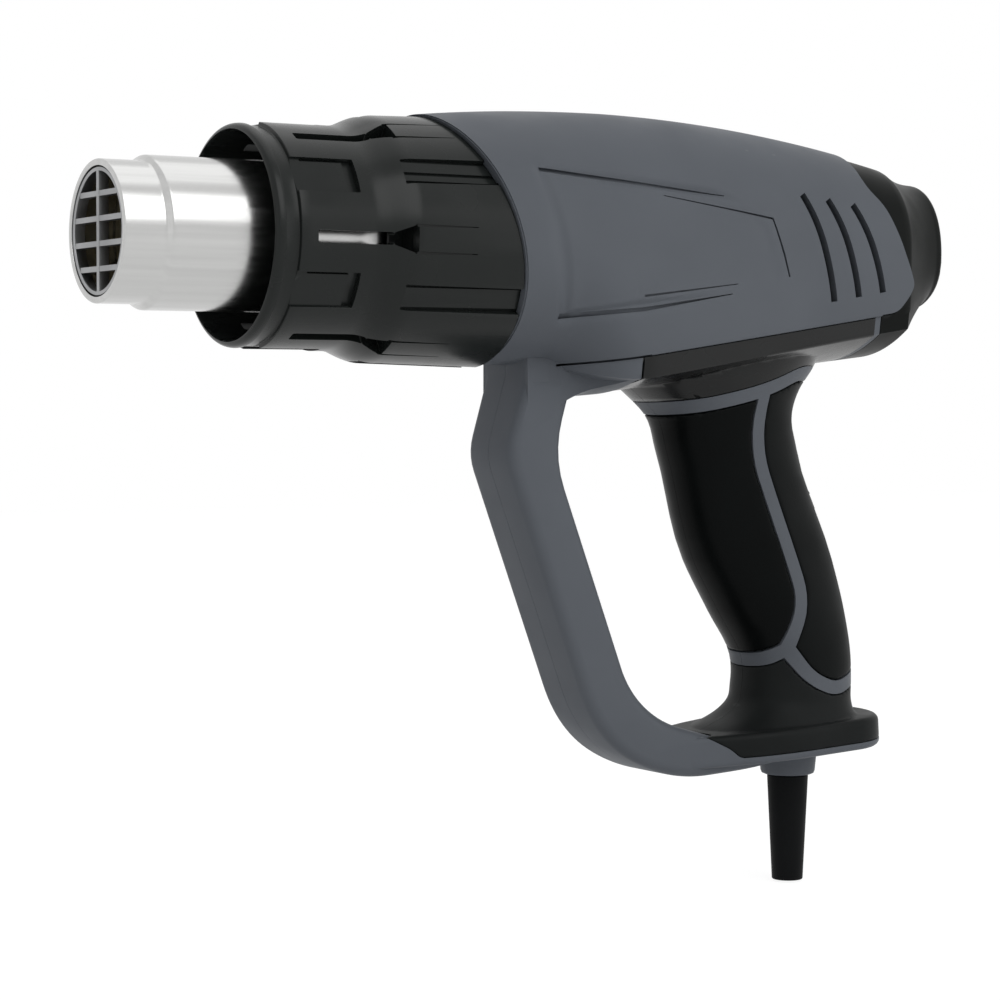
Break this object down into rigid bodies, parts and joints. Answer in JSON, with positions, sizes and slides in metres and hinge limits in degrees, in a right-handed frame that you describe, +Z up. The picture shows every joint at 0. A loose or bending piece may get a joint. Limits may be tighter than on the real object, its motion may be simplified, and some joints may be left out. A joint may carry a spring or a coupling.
{
  "type": "hot air tool",
  "caption": "Corded heating gun with a steel nozzle, vented heat shroud, two-part moulded housing, soft-grip pistol handle and a closed knuckle bow.",
  "frame": {"origin": "on the barrel axis, on the rear cap's flat rear face, which the tool stands on with the nozzle up", "axes": "+X the way the air flows, out of the nozzle; +Y the tool's left side; +Z up, from the handle to the barrel"},
  "size_m": [0.245, 0.0648, 0.2042],
  "materials": {
    "slate_plastic": "fine satin moulded slate grey",
    "grip_rubber": "smooth black soft overmould",
    "black_plastic": "satin black",
    "shroud_plastic": "satin heat-resistant charcoal",
    "nozzle_steel": "bright drawn stainless",
    "grille_steel": "stamped stainless",
    "heater_ceramic": "unglazed steatite",
    "mica": "laminated mica sheet",
    "heating_wire": "oxidised resistance wire",
    "zinc_steel": "zinc plated",
    "board_green": "solder-masked board",
    "pale_plastic": "natural nylon",
    "boot_rubber": "black flexible boot",
    "switch_plastic": "semi-gloss black"
  },
  "bodies": {
    "housing": {"housing_left": "slate_plastic", "housing_right": "slate_plastic", "neck_pad_left": "grip_rubber", "neck_pad_right": "grip_rubber", "front_grip_left": "grip_rubber", "front_grip_right": "grip_rubber", "rear_grip_left": "grip_rubber", "rear_grip_right": "grip_rubber", "foot_pad_left": "grip_rubber", "foot_pad_right": "grip_rubber", "rear_cap": "black_plastic", "heat_shroud": "shroud_plastic", "nozzle_tube": "nozzle_steel", "outlet_grille": "grille_steel", "heater_base": "heater_ceramic", "mica_tube": "mica", "mica_cross": "mica", "heating_coil": "heating_wire", "thermal_cutout": "zinc_steel", "motor_can": "zinc_steel", "motor_end_bell": "black_plastic", "rectifier_board": "board_green", "fan_duct": "shroud_plastic", "cord_boot": "boot_rubber", "cable_clamp": "black_plastic", "terminal_block": "pale_plastic", "capacitor": "pale_plastic", "housing_screw_1": "zinc_steel", "housing_screw_2": "zinc_steel", "housing_screw_3": "zinc_steel", "housing_screw_4": "zinc_steel", "housing_screw_5": "zinc_steel", "housing_screw_6": "zinc_steel", "housing_screw_7": "zinc_steel", "clamp_screw_1": "zinc_steel", "clamp_screw_2": "zinc_steel", "switch_body": "switch_plastic", "rocker_pin": "zinc_steel"},
    "fan_rotor": {"motor_shaft": "zinc_steel", "impeller": "pale_plastic"},
    "rocker": {"switch_rocker": "switch_plastic"}
  },
  "joints": [
    {"name": "fan_spin", "type": "hinge", "parent": "housing", "child": "fan_rotor", "pos_m": [0.06, 0, 0], "axis": [1, 0, 0], "continuous": true},
    {"name": "rocker_tilt", "type": "hinge", "parent": "housing", "child": "rocker", "pos_m": [0.04646, 0, -0.05976], "axis": [0, 1, 0], "range_deg": [-10, 10]}
  ]
}
